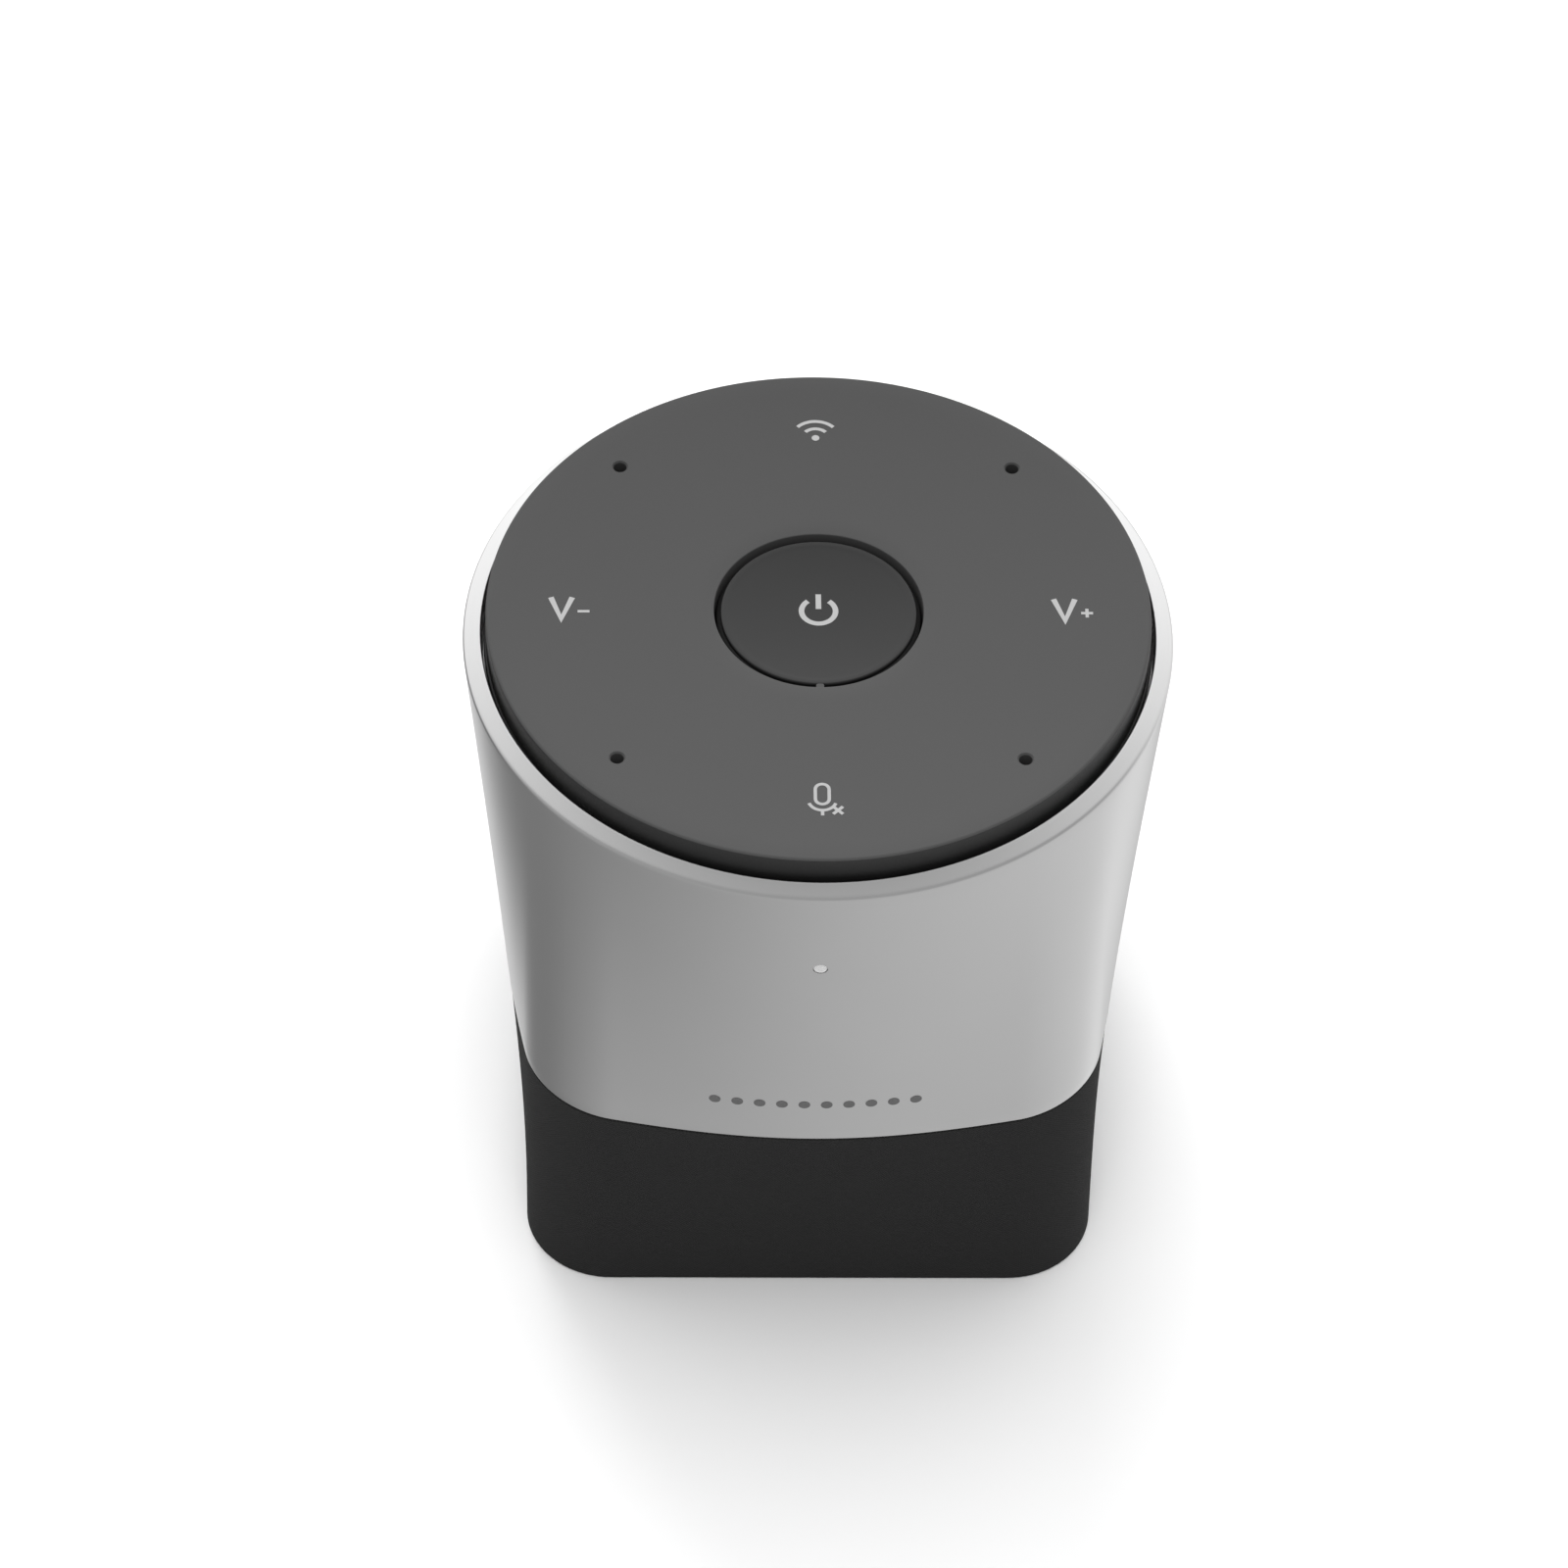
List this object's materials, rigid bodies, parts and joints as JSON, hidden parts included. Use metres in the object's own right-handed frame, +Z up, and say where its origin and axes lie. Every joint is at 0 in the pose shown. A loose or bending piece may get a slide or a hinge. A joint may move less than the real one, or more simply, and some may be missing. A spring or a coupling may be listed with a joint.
{
  "type": "conference speakerphone",
  "caption": "Table-top conference speakerphone: tapered aluminium sleeve, round at its rim and rounded square at its cloth-covered base, under a raised touch panel with a dished power button.",
  "frame": {"origin": "middle of the underside of the foot pad, on the table", "axes": "+Z up out of the table through the middle of the round panel, -Y towards the side with the status light, +Y towards the charging port, +X to the right of someone who faces the light"},
  "size_m": [0.0898, 0.0898, 0.0892],
  "materials": {
    "aluminium": "satin, bead-blasted and anodised",
    "panel_plastic": "fine matt moulded plastic",
    "button_plastic": "satin dished plastic",
    "cloth": "fine acoustic cloth",
    "rubber": "matt silicone",
    "black_plastic": "moulded plastic",
    "board": "solder mask",
    "chip": "moulded package",
    "steel": "nickel-plated steel",
    "ferrite": "bare ferrite",
    "paper_cone": "pressed paper pulp",
    "copper": "enamelled copper wire",
    "cell_wrap": "shrink sleeve over a metal can",
    "film": "polyimide film",
    "light_guide": "clear light guide"
  },
  "bodies": {
    "case": {"foot_pad": "rubber", "base_plate": "black_plastic", "base_screw_1": "steel", "base_screw_2": "steel", "base_screw_3": "steel", "base_screw_4": "steel", "sound_diffuser": "black_plastic", "base_housing": "black_plastic", "grille_cloth": "cloth", "speaker_gasket": "rubber", "speaker_basket": "steel", "speaker_front_plate": "steel", "speaker_magnet": "ferrite", "speaker_yoke": "steel", "speaker_surround": "rubber", "speaker_spider": "film", "sleeve": "aluminium", "status_light_pipe": "light_guide", "port_bezel": "black_plastic", "usb_c_shell": "steel", "usb_c_tongue": "chip", "port_board": "board", "inner_frame": "black_plastic", "battery_cell_front": "cell_wrap", "battery_cell_rear": "cell_wrap", "battery_strap": "rubber", "main_board": "board", "main_board_screw_1": "steel", "main_board_screw_2": "steel", "main_board_screw_3": "steel", "main_board_screw_4": "steel", "processor_shield": "steel", "amplifier_chip": "chip", "capacitor_1": "chip", "capacitor_2": "chip", "status_led": "light_guide", "board_flex": "film", "speaker_lead": "rubber", "battery_lead": "rubber", "control_board": "board", "touch_film": "film", "mic_capsule_1": "steel", "mic_capsule_2": "steel", "mic_capsule_3": "steel", "mic_capsule_4": "steel", "mic_boot_1": "rubber", "mic_boot_2": "rubber", "mic_boot_3": "rubber", "mic_boot_4": "rubber", "power_switch_body": "chip", "button_seal": "rubber", "top_panel": "panel_plastic"},
    "power_button": {"power_button": "button_plastic"},
    "switch_plunger": {"power_switch_plunger": "steel"},
    "cone": {"speaker_cone": "paper_cone", "dust_cap": "paper_cone", "voice_coil": "copper"}
  },
  "joints": [
    {"name": "power_press", "type": "slide", "parent": "case", "child": "power_button", "axis": [0, 0, -1], "range_m": [0, 0.0005], "stiffness_N_per_m": 2000, "deforming": ["button_seal"]},
    {"name": "plunger_press", "type": "slide", "parent": "case", "child": "switch_plunger", "axis": [0, 0, -1], "range_m": [0, 0.0005]},
    {"name": "cone_travel", "type": "slide", "parent": "case", "child": "cone", "axis": [0, 0, 1], "range_m": [-0.002, 0.002], "stiffness_N_per_m": 1200, "deforming": ["speaker_surround", "speaker_spider"]}
  ],
  "couplings": [
    {"joint": "plunger_press", "follows": "power_press", "ratio": 1}
  ]
}
